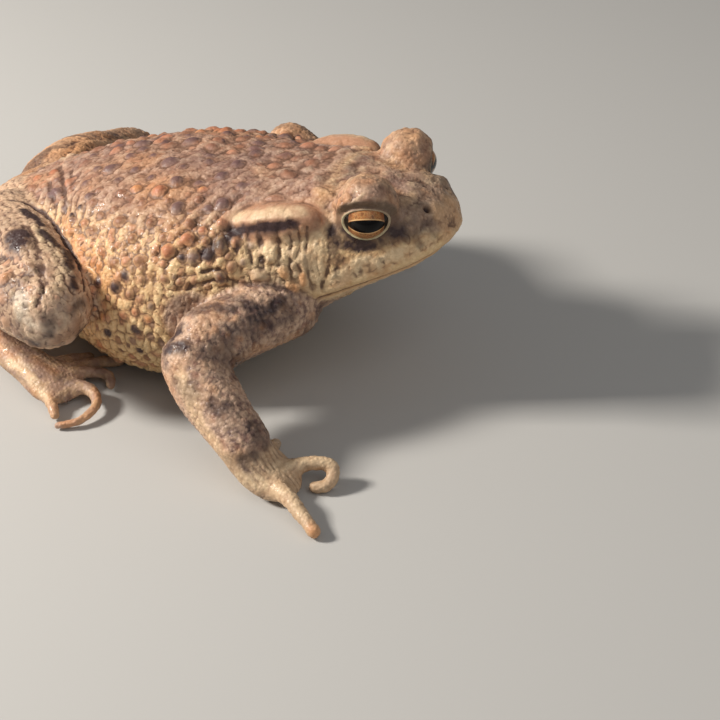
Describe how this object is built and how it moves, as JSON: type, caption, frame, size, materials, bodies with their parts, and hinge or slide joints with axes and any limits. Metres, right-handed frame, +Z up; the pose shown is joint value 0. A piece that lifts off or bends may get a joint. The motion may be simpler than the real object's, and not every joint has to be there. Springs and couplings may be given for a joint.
{
  "type": "common toad model",
  "caption": "Life-size still model of a common toad, crouched in mid-step with its head raised, warty brown skin and copper eyes.",
  "frame": {"origin": "on the flat of the belly that lies on the floor, under the middle of the trunk", "axes": "+X forward, the way the head points; +Y to the toad's left; +Z up from the floor"},
  "size_m": [0.0942, 0.085, 0.0389],
  "materials": {
    "back_skin": "red-brown warty skin, half matt, slightly damp",
    "flank_skin": "tan granular skin with brown warts, paler below",
    "limb_skin": "tan finely granular skin with dark blotches",
    "gland_skin": "smooth orange-brown gland skin with fine pores",
    "eye": "wet glossy copper iris with a black level pupil"
  },
  "bodies": {
    "root": {"trunk": "flank_skin", "head": "back_skin", "lower_jaw": "flank_skin", "eye_right": "eye", "parotoid_right": "gland_skin", "eye_left": "eye", "parotoid_left": "gland_skin", "upper_arm_right": "limb_skin", "forearm_right": "limb_skin", "hand_right": "limb_skin", "thigh_right": "limb_skin", "shank_right": "limb_skin", "foot_right": "limb_skin", "finger_1_right": "limb_skin", "finger_2_right": "limb_skin", "finger_3_right": "limb_skin", "finger_4_right": "limb_skin", "toe_1_right": "limb_skin", "toe_2_right": "limb_skin", "toe_3_right": "limb_skin", "toe_4_right": "limb_skin", "toe_5_right": "limb_skin", "upper_arm_left": "limb_skin", "forearm_left": "limb_skin", "hand_left": "limb_skin", "thigh_left": "limb_skin", "shank_left": "limb_skin", "foot_left": "limb_skin", "finger_1_left": "limb_skin", "finger_2_left": "limb_skin", "finger_3_left": "limb_skin", "finger_4_left": "limb_skin", "toe_1_left": "limb_skin", "toe_2_left": "limb_skin", "toe_3_left": "limb_skin", "toe_4_left": "limb_skin", "toe_5_left": "limb_skin"}
  },
  "joints": []
}
